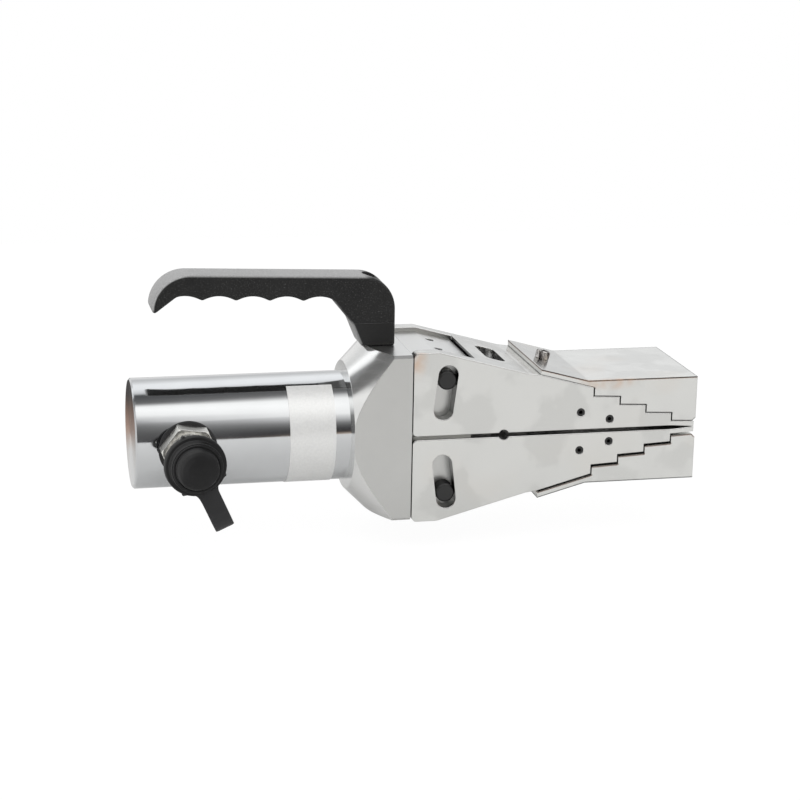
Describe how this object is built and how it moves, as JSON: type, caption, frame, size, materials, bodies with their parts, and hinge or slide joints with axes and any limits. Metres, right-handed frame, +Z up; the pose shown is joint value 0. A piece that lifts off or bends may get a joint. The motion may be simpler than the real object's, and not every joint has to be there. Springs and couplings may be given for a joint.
{
  "type": "hydraulic flange spreader",
  "caption": "Wedge-type hydraulic flange spreader: chrome barrel, steel body with a hook handle, and stepped jaws with step blocks that a ram-driven wedge parts",
  "frame": {"origin": "centre of the barrel's flat rear face, on the ram's axis", "axes": "+X along the ram from the barrel to the jaw tips, +Z up to the handle, -Y towards the hydraulic coupler"},
  "size_m": [0.3353, 0.1168, 0.1468],
  "materials": {
    "body_steel": "satin nickel-plated steel with a mirror-turned rear cone",
    "barrel_chrome": "mirror chrome plate",
    "label_film": "plain silvery film",
    "black_seal": "black nitrile rubber",
    "coupler_nickel": "pale nickel plate",
    "cap_rubber": "matt moulded black rubber",
    "foot_plastic": "smooth black moulding",
    "grip_plastic": "black moulding with a fine grain",
    "black_oxide": "black oxide",
    "bush_bronze": "turned bronze",
    "ram_steel": "turned steel",
    "piston_seal_plastic": "blue polyurethane",
    "wear_ring_plastic": "phenolic fabric",
    "rod_chrome": "ground hard chrome",
    "spring_steel": "oiled spring wire",
    "wedge_steel": "hardened and greased steel",
    "jaw_nickel": "satin nickel plate",
    "screw_zinc": "bright zinc plate"
  },
  "bodies": {
    "body": {"body_block": "body_steel", "barrel": "barrel_chrome", "barrel_label": "label_film", "coupler_washer": "black_seal", "coupler_body": "coupler_nickel", "cap_strap": "cap_rubber", "handle_foot": "foot_plastic", "handle_grip": "grip_plastic", "handle_screw": "black_oxide", "upper_jaw_pin": "black_oxide", "lower_jaw_pin": "black_oxide", "pin_lock_screws": "black_oxide", "guide_bush": "bush_bronze", "bush_seal": "black_seal", "rod_wiper": "black_seal", "return_spring": "spring_steel"},
    "ram": {"piston": "ram_steel", "piston_seal": "piston_seal_plastic", "piston_wear_ring": "wear_ring_plastic", "piston_nut": "black_oxide", "ram_rod": "rod_chrome", "wedge": "wedge_steel", "wedge_pin": "black_oxide", "upper_key": "wedge_steel", "lower_key": "wedge_steel", "key_screws": "black_oxide"},
    "upper_jaw": {"upper_jaw": "jaw_nickel", "upper_jaw_screws": "black_oxide", "upper_step_block": "jaw_nickel", "upper_block_screw": "screw_zinc"},
    "lower_jaw": {"lower_jaw": "jaw_nickel", "lower_jaw_screws": "black_oxide", "lower_step_block": "jaw_nickel", "lower_block_screw": "screw_zinc"},
    "cap": {"dust_cap": "cap_rubber"}
  },
  "joints": [
    {"name": "ram_slide", "type": "slide", "parent": "body", "child": "ram", "axis": [1, 0, 0], "range_m": [0, 0.0409], "stiffness_N_per_m": 2500, "springref_m": -0.03, "deforming": ["return_spring"]},
    {"name": "upper_jaw_slide", "type": "slide", "parent": "body", "child": "upper_jaw", "axis": [0.1229, 0, 0.9924], "range_m": [0, 0.0174]},
    {"name": "lower_jaw_slide", "type": "slide", "parent": "body", "child": "lower_jaw", "axis": [0.1229, 0, -0.9924], "range_m": [0, 0.0174]},
    {"name": "dust_cap_pull", "type": "slide", "parent": "body", "child": "cap", "axis": [0, -1, 0], "range_m": [0, 0.02], "deforming": ["cap_strap"]}
  ],
  "couplings": [
    {"joint": "upper_jaw_slide", "follows": "ram_slide", "ratio": 0.42518},
    {"joint": "lower_jaw_slide", "follows": "ram_slide", "ratio": 0.42518}
  ]
}
